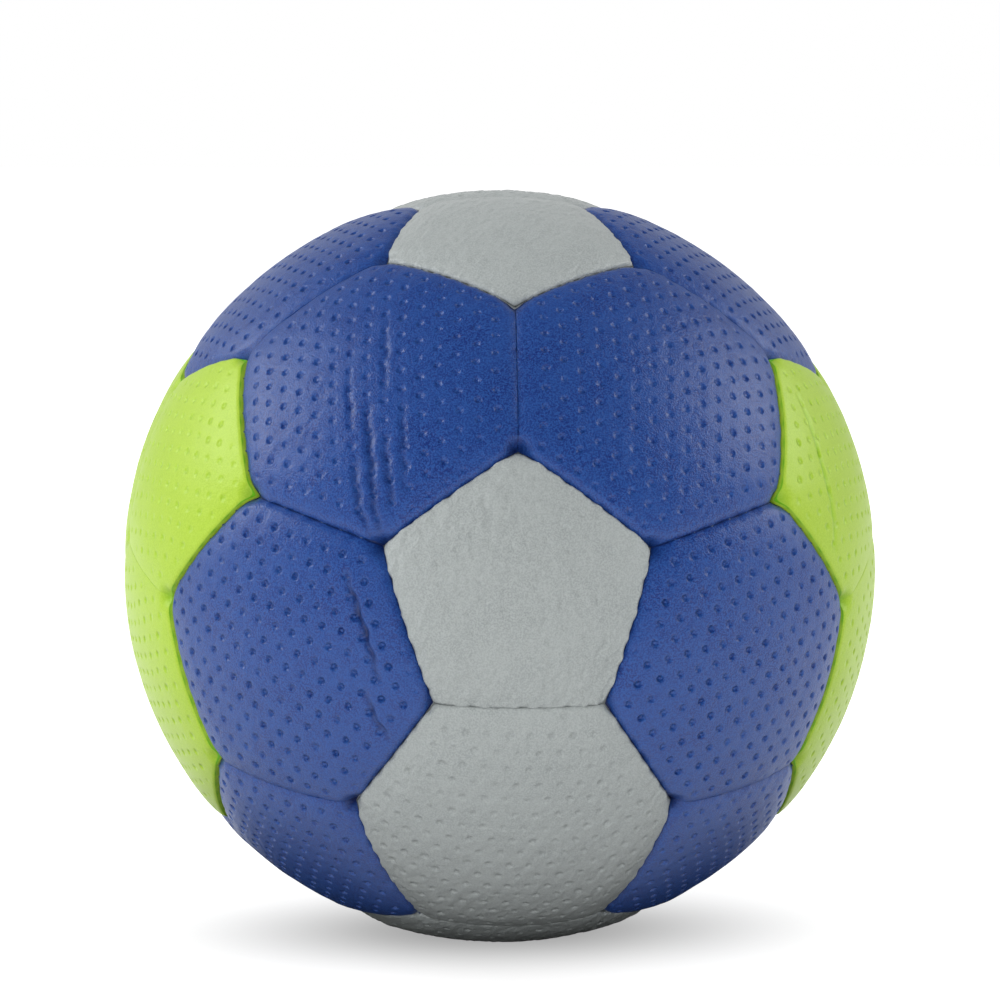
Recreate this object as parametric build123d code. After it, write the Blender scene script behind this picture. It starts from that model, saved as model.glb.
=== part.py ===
from build123d import *
import os
from itertools import combinations, product
from math import asin, atan, cos, pi, radians, sin, sqrt, tan

# Inflatable handball: a sewn cover of 12 five-sided and 20 six-sided panels over foam pads, woven
# linings and a rubber bladder with a needle valve. Millimetres, origin at the ball's centre, +Z up,
# -Y towards the person who looks at the front grey pentagon.

# Ball
ball_radius = 87.5
crown_rise = 1.2
lie_turn = 53.98

# Layers of a panel, from the outside in, and the gaps of glue and air between them
skin_thickness = 1.4
foam_thickness = 4.0
lining_thickness = 0.8
bladder_thickness = 1.2
glue_gap = 0.1
bladder_gap = 0.3

# Panel edges
lip_radius = 2.2
corner_radius = 2.8
sewn_gap = 0.1

# Seam stitching: one running stitch for each seam, through both turned-in edges
stitch_count = 6
stitch_pitch = 5.0
stitch_depth = 4.7
thread_diameter = 0.8
thread_sides = 6
thread_gap = 0.1

# Valve, on the axis of one hidden pentagon
stem_radius = 4.0
stem_recess = 0.5
stem_gap = 0.2
foot_radius = 12.0
foot_thickness = 1.5
tail_radius = 5.0
tail_end_radius = 3.6
tail_length = 11.0
plug_radius = 2.6
plug_rim_radius = 3.1
plug_rim_height = 1.2
plug_gap = 0.05
plug_floor = 1.5
outlet_radius = 1.25
needle_radius = 0.95
lead_in_radius = 1.7
lead_in_depth = 1.0
patch_radius = 14.0
patch_thickness = 0.8

# How far a cutting shape runs past what it cuts
overrun = 5.0

# Radii that follow from the layers
foam_inner_radius = ball_radius - skin_thickness - foam_thickness
lining_outer_radius = foam_inner_radius - glue_gap
lining_inner_radius = lining_outer_radius - lining_thickness
bladder_radius = lining_inner_radius - bladder_gap
bladder_inner_radius = bladder_radius - bladder_thickness
stitch_radius = ball_radius - stitch_depth

# Distances from a seam's own plane: to the flank, the flange's inner face, the thread and the pad
thread_radius = thread_diameter / 2
thread_room = thread_radius + thread_gap
flank_offset = sewn_gap / 2
flange_offset = flank_offset + skin_thickness
thread_offset = flange_offset + thread_room
pad_offset = thread_offset + thread_room

# The panel pattern: a truncated icosahedron, written for corners at a distance of one
golden = (1 + sqrt(5)) / 2
edge_share = 4 / sqrt(58 + 18 * sqrt(5))
corner_distance = ball_radius - crown_rise

# Each row gives a colour, a kind of panel and the pattern of its axis, which takes every sign
panel_families = [
    ("grey", "pentagon", (0, 1, golden)),
    ("grey", "hexagon", (0, golden, 1 / golden)),
    ("green", "pentagon", (golden, 0, 1)),
    ("green", "hexagon", (golden, 1 / golden, 0)),
    ("blue", "pentagon", (1, golden, 0)),
    ("blue", "hexagon", (1 / golden, 0, golden)),
    ("blue", "hexagon", (1, 1, 1)),
]
pentagon_sides = 5
hexagon_sides = 6
sides_of = {"pentagon": pentagon_sides, "hexagon": hexagon_sides}
valve_panel = "grey_pentagon_back_upper"


def corner_angle(sides):
    """Angle at the ball's centre between a panel's axis and its corners, in radians."""
    return asin(edge_share / (2 * sin(pi / sides)))


def edge_angle(sides):
    """Angle at the ball's centre between a panel's axis and the middle of an edge, in radians."""
    return atan(tan(corner_angle(sides)) * cos(pi / sides))


def crown_sphere(sides):
    """Centre height and radius of the sphere through a panel's crown and its corners."""
    reach = corner_distance * cos(corner_angle(sides))
    height = (ball_radius**2 - corner_distance**2) / (2 * (ball_radius - reach))
    return height, ball_radius - height


def ball(radius, height=0):
    return Pos(0, 0, height) * Sphere(radius)


def wedge(sides, offset):
    """The space between a panel's seam planes, each moved inwards by the offset, with flat sides."""
    slope = edge_angle(sides)
    tip = offset / sin(slope)
    rings = []
    for height in (lining_inner_radius * cos(corner_angle(sides)) - overrun, ball_radius + overrun):
        reach = (height - tip) * tan(slope) / cos(pi / sides)
        turns = [pi * (2 * index + 1) / sides for index in range(sides)]
        rings.append([(reach * cos(turn), reach * sin(turn), height) for turn in turns])
    low, high = rings
    loops = [low, high] + [(low[i - 1], low[i], high[i], high[i - 1]) for i in range(sides)]
    return Part() + Solid(Shell([Face(Wire.make_polygon(loop)) for loop in loops]))


def seam_frame(middle, along):
    """X along a seam, Y outwards through its middle and Z across it, at the ball's centre."""
    return Plane(origin=(0, 0, 0), x_dir=along, z_dir=along.cross(middle))


def panel_seams(sides):
    """The seam frames around a panel whose axis is +Z."""
    slope = edge_angle(sides)
    for index in range(sides):
        turn = 2 * pi * index / sides
        middle = Vector(sin(slope) * cos(turn), sin(slope) * sin(turn), cos(slope))
        yield seam_frame(middle, Vector(-sin(turn), cos(turn), 0))


def stitch_places():
    """Middles of the stitch holes in a seam's own frame."""
    step = stitch_pitch / stitch_radius
    first = -step * (stitch_count - 1) / 2
    angles = [first + step * index for index in range(stitch_count)]
    return [(stitch_radius * sin(angle), stitch_radius * cos(angle)) for angle in angles]


def stitch_holes(sides):
    """The stitch holes through all turned-in edges of a panel."""
    hole = Cylinder(thread_room, 2 * thread_offset)
    return [frame * Pos(x, y, 0) * hole for frame in panel_seams(sides) for x, y in stitch_places()]


def cover_panel(sides):
    """A panel's skin: crowned, with rounded lips and corners and its edges turned in for sewing."""
    height, radius = crown_sphere(sides)
    outer = wedge(sides, flank_offset)
    ridges = [edge for edge in outer.edges() if abs(edge.tangent_at(0.5).Z) > cos(edge_angle(sides)) / 2]
    outer = fillet(ridges, corner_radius)
    blank = (outer & ball(radius, height)) - ball(lining_inner_radius)
    crown = blank.faces().sort_by(Axis.Z)[-1]
    blank = fillet(crown.outer_wire().edges(), lip_radius)
    pocket = wedge(sides, flange_offset) & ball(radius - skin_thickness, height)
    return blank - pocket - stitch_holes(sides)


def foam_pad(sides):
    """The pad that fills a panel's crown, thinner towards its edges."""
    height, radius = crown_sphere(sides)
    body = wedge(sides, pad_offset) & ball(radius - skin_thickness - glue_gap, height)
    return body - ball(foam_inner_radius)


def lining(sides):
    """The woven layer behind a pad."""
    return (wedge(sides, pad_offset) & ball(lining_outer_radius)) - ball(lining_inner_radius)


def seam_thread():
    """The thread of one seam, in the seam's own frame: it crosses at each hole and runs between."""
    points = []
    side = thread_offset
    for x, y in stitch_places():
        points += [(x, y, side), (x, y, -side)]
        side = -side
    path = Polyline(*points)
    start = Plane(origin=path @ 0, z_dir=path % 0)
    section = start * RegularPolygon(thread_radius, thread_sides)
    return sweep(section, path, transition=Transition.RIGHT)


def shaft(radius, low, high):
    """A cylinder on the +Z axis between two heights."""
    return Pos(0, 0, low) * Cylinder(radius, high - low, align=(Align.CENTER, Align.CENTER, Align.MIN))


def valve_heights():
    """Heights along the valve's axis: tail end, foot's outer face, plug's seat and stem's top."""
    foot = bladder_inner_radius - glue_gap
    return foot - tail_length, foot, foot - tail_length + plug_floor, ball_radius - stem_recess


def valve_body():
    """Moulded rubber valve: a stem out through the panel, a foot inside the bladder and a tail."""
    tail, foot, seat, top = valve_heights()
    disc = shaft(foot_radius, 0, top) & (ball(foot) - ball(foot - foot_thickness))
    tail_section = Pos(0, 0, tail) * Circle(tail_end_radius)
    root_section = Pos(0, 0, foot - foot_thickness / 2) * Circle(tail_radius)
    body = disc + loft([tail_section, root_section]) + shaft(stem_radius, foot - foot_thickness / 2, top)
    body -= shaft(plug_radius + plug_gap, seat, top + overrun)
    body -= shaft(plug_rim_radius + plug_gap, top - plug_rim_height - plug_gap, top + overrun)
    return body - shaft(outlet_radius, tail - overrun, seat + overrun)


def valve_core():
    """Soft plug inside the valve, with the channel for a pump needle and a funnel that leads it in."""
    _, _, seat, top = valve_heights()
    plug = shaft(plug_radius, seat + plug_gap, top)
    plug += shaft(plug_rim_radius, top - plug_rim_height, top)
    funnel_mouth = Pos(0, 0, top) * Circle(lead_in_radius)
    funnel_end = Pos(0, 0, top - lead_in_depth) * Circle(needle_radius)
    return plug - shaft(needle_radius, seat - overrun, top + overrun) - loft([funnel_end, funnel_mouth])


def valve_opening():
    """What is cut from the layers of the valve's panel to let the stem through."""
    return shaft(stem_radius + stem_gap, 0, ball_radius + overrun)


def patch_layer(radius, gap):
    """The round of cloth between the valve panel's pad and lining, with a gap around it."""
    shell = ball(foam_inner_radius + patch_thickness + gap) - ball(foam_inner_radius - gap)
    return shell & shaft(radius + gap, 0, ball_radius)


def bladder(valve_frame):
    hole = valve_frame * shaft(stem_radius + glue_gap, 0, ball_radius)
    return ball(bladder_radius) - ball(bladder_inner_radius) - hole


def panel_axes():
    """Each panel's name, kind and outward direction as the ball lies."""
    words = [("right", "left"), ("upper", "lower"), ("front", "back")]
    for colour, kind, pattern in panel_families:
        for signs in product(*[(1, -1) if value else (1,) for value in pattern]):
            places = [pair[sign < 0] for pair, sign, value in zip(words, signs, pattern) if value]
            name = "_".join([colour, kind] + places[::-1])
            axis = Vector(*[sign * value for sign, value in zip(signs, pattern)])
            yield name, kind, axis.normalized().rotate(Axis.X, lie_turn)


def across(axis, other):
    """The direction from one axis towards another, square to the first."""
    return (other - axis * axis.dot(other)).normalized()


def panel_frame(axis, axes):
    """A panel's own frame: Z outwards, X towards its nearest neighbour."""
    nearest = max((other for other in axes if other is not axis), key=axis.dot)
    return Plane(origin=(0, 0, 0), x_dir=across(axis, nearest), z_dir=axis)


def seams(panels):
    """Each pair of neighbouring panels: whether a pentagon takes part, and the seam's frame."""
    reach = cos(2 * edge_angle(hexagon_sides) + radians(1))
    for (_, kind, axis), (_, other_kind, other) in combinations(panels, 2):
        if axis.dot(other) > reach:
            slope = edge_angle(sides_of[kind])
            middle = axis * cos(slope) + across(axis, other) * sin(slope)
            yield "pentagon" in (kind, other_kind), seam_frame(middle, axis.cross(other).normalized())


panels = list(panel_axes())
axes = [axis for _, _, axis in panels]
frames = {name: panel_frame(axis, axes) for name, _, axis in panels}
valve_frame = frames[valve_panel]

covers = {kind: cover_panel(sides) for kind, sides in sides_of.items()}
pads = {kind: foam_pad(sides) for kind, sides in sides_of.items()}
linings = {kind: lining(sides) for kind, sides in sides_of.items()}
thread = seam_thread()

nodes = {name: frames[name] * covers[kind] for name, kind, _ in panels}
nodes[valve_panel] = valve_frame * (covers["pentagon"] - valve_opening())
valve_cut = patch_layer(patch_radius, glue_gap) + valve_opening()
for kind in sides_of:
    names = [name for name, panel_kind, _ in panels if panel_kind == kind]
    kind_pads = [frames[name] * pads[kind] for name in names if name != valve_panel]
    kind_linings = [frames[name] * linings[kind] for name in names if name != valve_panel]
    if valve_panel in names:
        kind_pads.append(valve_frame * (pads[kind] - valve_cut))
        kind_linings.append(valve_frame * (linings[kind] - valve_opening()))
    nodes[kind + "_foam_pads"] = Compound(children=kind_pads)
    nodes[kind + "_linings"] = Compound(children=kind_linings)
sewn = list(seams(panels))
pentagon_threads = [frame * thread for at_pentagon, frame in sewn if at_pentagon]
hexagon_threads = [frame * thread for at_pentagon, frame in sewn if not at_pentagon]
nodes["pentagon_seam_threads"] = Compound(children=pentagon_threads)
nodes["hexagon_seam_threads"] = Compound(children=hexagon_threads)
nodes["bladder"] = bladder(valve_frame)
nodes["valve_body"] = valve_frame * valve_body()
nodes["valve_core"] = valve_frame * valve_core()
nodes["valve_patch"] = valve_frame * (patch_layer(patch_radius, 0) - valve_opening())

os.makedirs("parts", exist_ok=True)
for name, part in nodes.items():
    export_step(part, f"parts/{name}.step")
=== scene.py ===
from functools import lru_cache, partial
from itertools import combinations, permutations
from math import atan, cos, pi, radians, sin

import bpy
import numpy as np
from mathutils import Matrix, Vector


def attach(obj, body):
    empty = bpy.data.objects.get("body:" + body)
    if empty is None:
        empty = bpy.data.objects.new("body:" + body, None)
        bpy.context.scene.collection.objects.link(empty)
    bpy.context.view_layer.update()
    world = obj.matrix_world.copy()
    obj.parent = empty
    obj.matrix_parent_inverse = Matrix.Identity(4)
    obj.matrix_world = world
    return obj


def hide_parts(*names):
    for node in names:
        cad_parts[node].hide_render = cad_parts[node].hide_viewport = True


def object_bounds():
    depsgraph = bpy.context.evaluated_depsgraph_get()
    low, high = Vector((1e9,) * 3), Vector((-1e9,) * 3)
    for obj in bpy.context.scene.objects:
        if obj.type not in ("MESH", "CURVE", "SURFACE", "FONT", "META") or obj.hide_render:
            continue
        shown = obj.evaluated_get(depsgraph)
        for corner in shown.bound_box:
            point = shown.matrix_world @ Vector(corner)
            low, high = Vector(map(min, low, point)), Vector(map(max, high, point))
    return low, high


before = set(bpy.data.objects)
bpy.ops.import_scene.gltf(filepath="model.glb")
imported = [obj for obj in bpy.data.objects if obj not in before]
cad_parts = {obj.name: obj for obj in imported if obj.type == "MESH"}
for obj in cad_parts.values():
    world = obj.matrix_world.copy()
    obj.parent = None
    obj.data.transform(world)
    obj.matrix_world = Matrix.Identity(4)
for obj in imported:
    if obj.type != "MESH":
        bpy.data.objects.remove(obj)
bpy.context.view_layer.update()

# A sewn handball. Lengths are millimetres until a mesh is made, and meshes are in metres.
MM = 0.001
SEED = 7

# The photograph: its size, the ball's middle in it and the viewing angle, which a perspective fit gave
IMAGE_PX = 1000
BALL_MIDDLE_PX = (499.5, 565.0)
BALL_RADIUS_PX = 375.5
VIEW_RADII = 8.0
VIEW_AZIMUTH = radians(-2.5)
VIEW_ELEVATION = radians(8.3)
FOCAL_PX = BALL_RADIUS_PX * (VIEW_RADII**2 - 1) ** 0.5
SENSOR_MM = 36.0

# Panels that the photograph shows: six pentagons, then seven hexagons
GREY_MID, GREY_TOP = "grey_pentagon_front_lower", "grey_pentagon_front_upper"
GREEN_LEFT, GREEN_RIGHT = "green_pentagon_front_left", "green_pentagon_front_right"
BLUE_LEFT, BLUE_RIGHT = "blue_pentagon_lower_left", "blue_pentagon_lower_right"
HEXAGON_TOP_LEFT, HEXAGON_TOP_RIGHT = "blue_hexagon_front_upper_left", "blue_hexagon_front_upper_right"
HEXAGON_LEFT, HEXAGON_RIGHT = "blue_hexagon_front_left", "blue_hexagon_front_right"
HEXAGON_LOW_LEFT, HEXAGON_LOW_RIGHT = "blue_hexagon_front_lower_left", "blue_hexagon_front_lower_right"
HEXAGON_LOW = "grey_hexagon_front_lower"

# Seam corners that the photograph shows: a pentagon, the next pentagon that its corner points to, the pixel
SEEN_CORNERS_PX = {
    (GREY_MID, GREY_TOP): (518, 451),
    (GREY_MID, GREEN_LEFT): (383, 546),
    (GREY_MID, GREEN_RIGHT): (651, 548),
    (GREY_MID, BLUE_LEFT): (434, 702),
    (GREY_MID, BLUE_RIGHT): (604, 702),
    (GREY_TOP, GREY_MID): (515, 308),
    (GREY_TOP, GREEN_LEFT): (387, 265),
    (GREY_TOP, GREEN_RIGHT): (633, 268),
    (GREEN_LEFT, GREY_TOP): (248, 361),
    (GREEN_LEFT, GREY_MID): (255, 495),
    (GREEN_LEFT, BLUE_LEFT): (174, 596),
    (GREEN_RIGHT, GREY_TOP): (767, 361),
    (GREEN_RIGHT, GREY_MID): (775, 500),
    (GREEN_RIGHT, BLUE_RIGHT): (838, 600),
    (BLUE_LEFT, GREEN_LEFT): (222, 754),
    (BLUE_LEFT, GREY_MID): (356, 800),
    (BLUE_LEFT, BLUE_RIGHT): (424, 910),
    (BLUE_RIGHT, GREEN_RIGHT): (791, 757),
    (BLUE_RIGHT, GREY_MID): (671, 800),
    (BLUE_RIGHT, BLUE_LEFT): (597, 908),
}

# Creases pressed into the cover: the panel, the pixels that the crease runs through, depth and half width
CREASES = [
    (HEXAGON_LEFT, [(386, 318), (386, 354), (384, 392)], 0.35, 0.7),
    (HEXAGON_LEFT, [(367, 405), (369, 436), (371, 465), (373, 499), (376, 520), (381, 541)], 0.75, 0.8),
    (HEXAGON_LEFT, [(385, 436), (386, 464), (390, 486), (390, 510)], 0.65, 0.75),
    (HEXAGON_LEFT, [(355, 455), (356, 489), (360, 514), (370, 538)], 0.6, 0.75),
    (HEXAGON_LEFT, [(402, 402), (403, 433), (402, 453), (404, 471), (404, 496)], 0.45, 0.7),
    (HEXAGON_LEFT, [(348, 375), (349, 398), (352, 432)], 0.38, 0.7),
    (HEXAGON_LOW_LEFT, [(346, 573), (354, 599), (366, 638), (372, 658), (379, 681)], 1.2, 0.6),
    (HEXAGON_LOW_LEFT, [(366, 691), (372, 713), (388, 742)], 1.0, 0.55),
    (BLUE_LEFT, [(338, 800), (345, 804), (352, 812)], 1.8, 1.5),
    (BLUE_RIGHT, [(669, 798), (675, 805), (682, 810)], 1.8, 1.5),
    (GREEN_RIGHT, [(799, 396), (812, 430), (824, 470), (832, 505), (836, 550)], 0.6, 0.6),
]

# A crease wavers beside its line, is pressed harder at every stroke, and fades out at its ends
CREASE_WAVE = 0.2
CREASE_WAVE_LENGTH = 0.9
CREASE_STROKE = 4.5
CREASE_STROKE_SHARE = 0.2
CREASE_END = 0.02

# Cosines above which two directions count as neighbours: pentagons, a pentagon and a hexagon, corners.
# The last two tell one corner from another, and a panel at the top or bottom of the ball.
NEXT_PENTAGON = 0.4
BESIDE_HEXAGON = 0.7
NEXT_CORNER = 0.9
SAME_CORNER = 1 - 1e-9
NEAR_POLE = 0.95

# Cover panels: the rings of their meshes, their sewn edges, and corners a little off their regular places
PANEL_ROWS = 84
INNER_ROWS = 12
ROW_CROWDING = 1.3
SEWN_GAP = 0.06
SKIN = 1.4
FLANGE_DEPTH = 6.3
CORNER_DEPTH = 2.5
CORNER_ROUNDING = 0.9
CORNER_JITTER = 0.5

# How much of its lip a panel keeps where both panels have one colour, and where the photograph shows more
SAME_COLOUR_LIP = {"grey": 0.5, "green": 0.1, "blue": 0.35}
SEEN_LIPS = {
    frozenset((HEXAGON_LEFT, HEXAGON_LOW_LEFT)): 0.85,
    frozenset((HEXAGON_RIGHT, HEXAGON_LOW_RIGHT)): 0.85,
}

# The inputs of the panels' node tree
PANEL_SIZES = {
    "Lip Width": 1.2,
    "Lip Depth": 0.8,
    "Puff Width": 9.0,
    "Puff Height": 1.2,
    "Stitch Pitch": 5.0,
    "Scallop": 0.15,
    "Ragged Edge": 0.6,
    "Dimple Pitch": 4.5,
    "Row Pitch": 3.9,
    "Dimple Diameter": 2.05,
    "Dimple Depth": 0.45,
    "Lattice Turn": 0.0,
    "Lattice X": 0.0,
    "Lattice Y": 0.0,
    "Swell Height": 0.35,
    "Swell Size": 16.0,
    "Wrinkle Height": 0.10,
    "Wrinkle Size": 3.0,
    "Seed": 0.0,
}

# What differs by colour
COLOUR_SIZES = {
    "grey": {
        "Lip Width": 0.7,
        "Lip Depth": 0.7,
        "Scallop": 0.16,
        "Dimple Depth": 0.2,
        "Wrinkle Height": 0.65,
        "Wrinkle Size": 1.8,
    },
    "green": {
        "Lip Width": 0.9,
        "Lip Depth": 0.3,
        "Puff Height": 0.6,
        "Scallop": 0.05,
        "Ragged Edge": 0.1,
        "Dimple Depth": 0.2,
        "Wrinkle Height": 0.10,
    },
    "blue": {
        "Lip Width": 2.2,
        "Lip Depth": 1.0,
        "Scallop": 0.10,
        "Dimple Depth": 0.45,
        "Wrinkle Height": 0.28,
    },
}

# Panels that the photograph shows more wrinkled than others of their colour
SEEN_WRINKLES = {GREY_MID: 1.2}

# Panels whose dimples the photograph shows: the rows' turn in degrees, the depth, and where one dimple lies
SEEN_DIMPLES = {
    GREY_MID: (20, 0.10, 0, 0),
    GREY_TOP: (10, 0.06, 0, 0),
    HEXAGON_LOW: (2, 0.21, 1.35, 4.9),
    HEXAGON_LEFT: (15, 0.30, -3.45, -2.3),
    HEXAGON_RIGHT: (-13, 0.34, -1.65, 4.0),
    HEXAGON_LOW_LEFT: (15, 0.46, -0.15, -4.1),
    HEXAGON_LOW_RIGHT: (-13, 0.48, -0.45, -4.1),
    HEXAGON_TOP_LEFT: (-4, 0.42, 0, 0),
    HEXAGON_TOP_RIGHT: (8, 0.5, 0, 0),
    BLUE_LEFT: (15, 0.42, 0, 0),
    BLUE_RIGHT: (-15, 0.42, 0, 0),
    GREEN_LEFT: (0, 0.16, 0, 0),
    GREEN_RIGHT: (0, 0.22, 0, 0),
}

# The other panels' rows turn by this many degrees from one to the next, and each panel has its own noise
FREE_TURN = 37
SEED_STEP = 50.0

# Hollows where three panels meet: their width, their depth, the depths that the photograph shows, and the
# share that a colour's panels sink by
HOLLOW_WIDTH = 1.9
HOLLOW_DEPTH = 1.2
SEEN_HOLLOWS = {
    (GREY_MID, GREY_TOP): 3.0,
    (GREY_MID, GREEN_LEFT): 2.4,
    (GREY_MID, GREEN_RIGHT): 2.4,
    (GREY_MID, BLUE_LEFT): 1.2,
    (GREY_MID, BLUE_RIGHT): 0.7,
    (BLUE_LEFT, GREY_MID): 2.0,
    (BLUE_RIGHT, GREY_MID): 2.4,
    (GREEN_LEFT, GREY_MID): 1.9,
    (GREEN_RIGHT, GREY_MID): 2.0,
    (GREEN_LEFT, BLUE_LEFT): 1.6,
    (GREEN_RIGHT, BLUE_RIGHT): 1.6,
}
HOLLOW_SHARE = {"grey": 0.3, "green": 0.9, "blue": 1.0}

# Forms in the panels' node tree: the middle of a noise, a value that falls to none, the powers that round
# the lip and the crown, how far and how evenly a stitch holds the lip, and the puff at a closed seam
NOISE_MEAN = 0.5
FALLING = {"To Min": 1.0, "To Max": 0.0}
LIP_POWER = 2.2
PUFF_POWER = 2.0
STITCH_REACH = 3.0
STITCH_HOLD = 0.6
CLOSED_PUFF = 0.5

# Wrinkles lean and are drawn out that way
WRINKLE_LEAN = radians(65)
WRINKLE_STRETCH = 0.5

# Dimples: odd rows are half a pitch on, rows wander, pits begin a little way from the seam, and each has
# a small flat bottom, a wall up to its rim and a depth of its own
ROW_STAGGER = -0.5
WANDER_SCALE = 0.07
WANDER_REACH = 1.6
PIT_START = {"From Min": 1.2, "From Max": 3.8}
PIT_WALL = {"From Min": 0.08, "From Max": 0.5}
PIT_LUCK = {"To Min": 0.6, "To Max": 1.2}

# Seam stitches, at the places that the sewn edges have their holes
STITCH_COUNT = 6
STITCH_DEPTH = 2.35
STITCH_SIZES = {
    "Stitch Count": STITCH_COUNT,
    "Thread Radius": 0.28,
    "Half Width": 0.6,
    "Slant": 0.3,
    "Rise": 0.75,
}
THREAD_STEPS = 6
THREAD_SIDES = 6
SEAM_POINTS = 12

# The hole for the valve
VALVE_CLEARANCE = 0.2
DRILL_SIDES = 48

# Suede covers: body colour, painted shade colour for the pits, seams, creases and hollows, worn colour,
# height of the relief, shine, and how much painted shade a pit gets
SUEDES = {
    "blue": {
        "colour": "#042873",
        "painted_shade": "#03154a",
        "light": "#1d4d98",
        "relief_height": 0.16,
        "shine": 0.55,
        "pit_painted_shade": 0.2,
    },
    "green": {
        "colour": "#a5c833",
        "painted_shade": "#5fac04",
        "light": "#b1d142",
        "relief_height": 0.08,
        "shine": 0.3,
        "pit_painted_shade": 0.8,
    },
    "grey": {
        "colour": "#9ca2a2",
        "painted_shade": "#3e4241",
        "light": "#aeb4b3",
        "relief_height": 0.16,
        "shine": 0.45,
        "pit_painted_shade": 0.35,
    },
}

# The suede's patterns and how much each of them shows. A real nap is about 0.15 mm, and it is drawn
# coarser so that it can be seen.
NAP_SIZE = 0.36
GRAIN_SIZE = 1.3
GRAIN_SHARE = 0.5
MOTTLE_SIZE = 7.0
SPECKLE = {"From Min": 0.40, "From Max": 0.60}
WORN_PATCHES = {"From Min": 0.35, "From Max": 0.65, "To Max": 0.35}
# Painted shade along the seams, in creases and in hollows: how sharply it gathers at the seam, and how much
# of it creases and hollows get
GROOVE_POWER = 9.0
CREASE_PAINTED_SHADE = 0.8
HOLLOW_PAINTED_SHADE = 0.25
SUEDE_ROUGHNESS = {"To Min": 0.34, "To Max": 0.50}
SUEDE_SHEEN = {"Sheen Weight": 0.02, "Sheen Roughness": 0.5}
PIT_BUMP = 0.85
RELIEF_BUMP = 0.8

# Other materials: the size of the pattern, and its height
TWIST_SIZE, TWIST_HEIGHT = 0.5, 0.05
RUBBER_SIZE, RUBBER_HEIGHT = 0.8, 0.05
BLOOM_SIZE = 9.0
RUBBER_ROUGHNESS_SPREAD = 0.1
CELL_SIZE, CELL_HEIGHT = 0.7, 0.1
WEAVE_SIZE, WEAVE_HEIGHT = 1.2, 0.2
WAVE_RADIANS = 20

# A Mix node's two colour inputs, by number because its inputs share their names
MIX_A, MIX_B = 6, 7

# The stage, in metres. The floor's values change with the distance from under the ball, and paint a shadow
# there: a darker glow and paper for the camera, a darker floor for the light that it throws onto the ball,
# and its white kept out of reflections near the ball.
WHITE = "#ffffff"
FLOOR_SIZE = 30
FLOOR_STRETCH = (1.0, 2.0, 1.0)
FLOOR_GLOW_WITH_PAINTED_SHADOW = {"From Max": 0.09, "To Min": 0.32, "To Max": 0.88}
FLOOR_TONE_WITH_PAINTED_SHADOW = {"From Min": 0.03, "From Max": 0.16, "To Min": 0.05, "To Max": 0.62}
FLOOR_BOUNCE_WITH_PAINTED_SHADOW = {"From Min": 0.06, "From Max": 0.15, "To Max": 0.68}
FLOOR_MIRRORED_PAST_PAINTED_SHADOW = {"From Min": 0.075, "From Max": 0.12}
SKY_STRENGTH = {"To Min": 0.28, "To Max": 0.54}
SKY_MIRRORED = 0.06
SKY_BEHIND = {"From Min": 0.58, "From Max": 0.96}
SOFTBOXES = {
    "left softbox": {"place": (-1.40, 0.28, 0.80), "size": 0.8, "power": 13.8, "mirrored": True},
    "right softbox": {"place": (1.42, 0.28, 0.76), "size": 0.8, "power": 11.0, "mirrored": True},
    "front softbox": {"place": (-0.42, -1.60, 0.50), "size": 0.9, "power": 13.6, "mirrored": False},
}


def unit(vectors):
    """The vectors at length one."""
    return vectors / np.linalg.norm(vectors, axis=-1, keepdims=True)


def points_of(node):
    """A CAD node's vertices in millimetres."""
    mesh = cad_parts[node].data
    flat = np.empty(len(mesh.vertices) * 3, np.float32)
    mesh.vertices.foreach_get("co", flat)
    return flat.reshape(-1, 3).astype(float) / MM


def colour_of(name):
    """A panel's colour, which its name begins with."""
    return name.split("_")[0]


# The CAD panels, the ball's size, and about how far a panel's middle is from its seams
PANELS = sorted(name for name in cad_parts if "_pentagon_" in name or "_hexagon_" in name)
PENTAGONS = [name for name in PANELS if "_pentagon_" in name]
NODE_POINTS = {name: points_of(name) for name in PANELS}
AXES = {name: unit(unit(NODE_POINTS[name]).mean(0)) for name in PANELS}
BALL_RADIUS = max(np.linalg.norm(points, axis=1).max() for points in NODE_POINTS.values())
VALVE_PANEL = max(PANELS, key=lambda name: AXES[name] @ unit(points_of("valve_core").mean(0)))
SEAM_TO_MIDDLE = 0.35 * BALL_RADIUS


# Camera

def view_matrix():
    """The camera's turn and place: it looks so that the ball's middle falls on its pixel."""
    level = cos(VIEW_ELEVATION)
    away = Vector((sin(VIEW_AZIMUTH) * level, -cos(VIEW_AZIMUTH) * level, sin(VIEW_ELEVATION)))
    turn, tilt = (atan((pixel - IMAGE_PX / 2) / FOCAL_PX) for pixel in BALL_MIDDLE_PX)
    straight = (-away).to_track_quat("-Z", "Y").to_matrix()
    look = straight @ Matrix.Rotation(turn, 3, "Y") @ Matrix.Rotation(tilt, 3, "X")
    return Matrix.Translation(away * VIEW_RADII * BALL_RADIUS * MM) @ look.to_4x4()


VIEW = view_matrix()


def add_camera():
    """The camera, at the photograph's viewing angle."""
    data = bpy.data.cameras.new("camera")
    data.sensor_width = SENSOR_MM
    data.lens = FOCAL_PX * SENSOR_MM / IMAGE_PX
    camera = bpy.data.objects.new("camera", data)
    camera.matrix_world = VIEW
    bpy.context.collection.objects.link(camera)
    bpy.context.scene.camera = camera


def on_ball(pixel, depth):
    """The direction from the ball's middle to what a pixel shows, at a depth under the ball's surface."""
    start = np.array(VIEW.translation) / MM
    right = (pixel[0] - IMAGE_PX / 2) / FOCAL_PX
    up = (IMAGE_PX / 2 - pixel[1]) / FOCAL_PX
    ray = unit(np.array(VIEW.to_3x3() @ Vector((right, up, -1))))
    along = -start @ ray
    reach = along - ((BALL_RADIUS - depth) ** 2 - start @ start + along**2) ** 0.5
    return unit(start + reach * ray)


# Panel corners

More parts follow.
